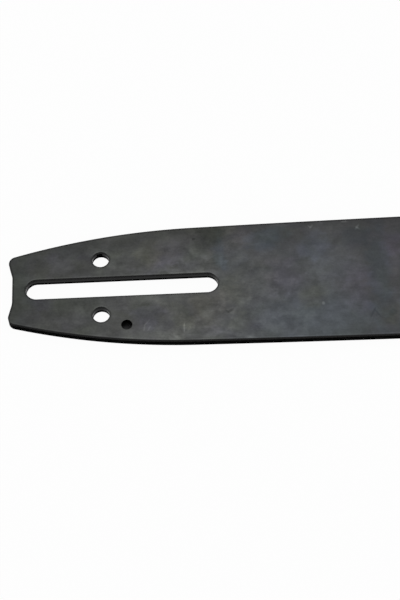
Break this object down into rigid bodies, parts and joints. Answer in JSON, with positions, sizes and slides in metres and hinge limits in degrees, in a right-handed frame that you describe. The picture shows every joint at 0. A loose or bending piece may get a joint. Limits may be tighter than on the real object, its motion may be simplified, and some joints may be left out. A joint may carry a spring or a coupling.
{
  "type": "chainsaw guide bar",
  "caption": "Flat laminated steel guide bar that carries a saw chain round its grooved edge, with a stud slot, tensioner and oil holes at the tail and a toothed wheel in the nose.",
  "frame": {"origin": "middle of the stud slot, on the lower face", "axes": "+X along the bar from tail to nose, +Y across it, +Z out of the upper face"},
  "size_m": [0.4153, 0.0498, 0.0041],
  "materials": {
    "plate_steel": "blackened, mottled grey with a blue tint towards the nose",
    "core_steel": "blackened",
    "sprocket_steel": "hardened, oiled",
    "bearing_steel": "ground",
    "rivet_steel": "ground flush, blackened"
  },
  "bodies": {
    "bar": {"upper_side_plate": "plate_steel", "core_plate": "core_steel", "lower_side_plate": "plate_steel", "bearing_hub": "bearing_steel", "hub_rivet": "rivet_steel"},
    "sprocket": {"nose_sprocket": "sprocket_steel"},
    "roller_ring": {"bearing_roller_01": "bearing_steel", "bearing_roller_02": "bearing_steel", "bearing_roller_03": "bearing_steel", "bearing_roller_04": "bearing_steel", "bearing_roller_05": "bearing_steel", "bearing_roller_06": "bearing_steel", "bearing_roller_07": "bearing_steel", "bearing_roller_08": "bearing_steel", "bearing_roller_09": "bearing_steel", "bearing_roller_10": "bearing_steel", "bearing_roller_11": "bearing_steel", "bearing_roller_12": "bearing_steel", "bearing_roller_13": "bearing_steel", "bearing_roller_14": "bearing_steel", "bearing_roller_15": "bearing_steel", "bearing_roller_16": "bearing_steel", "bearing_roller_17": "bearing_steel", "bearing_roller_18": "bearing_steel", "bearing_roller_19": "bearing_steel", "bearing_roller_20": "bearing_steel"}
  },
  "joints": [
    {"name": "sprocket_spin", "type": "hinge", "parent": "bar", "child": "sprocket", "pos_m": [0.35, 0, 0.00202], "axis": [0, 0, 1], "continuous": true},
    {"name": "roller_ring_spin", "type": "hinge", "parent": "bar", "child": "roller_ring", "pos_m": [0.35, 0, 0.00202], "axis": [0, 0, 1], "continuous": true}
  ],
  "couplings": [
    {"joint": "roller_ring_spin", "follows": "sprocket_spin", "ratio": 0.57962}
  ]
}
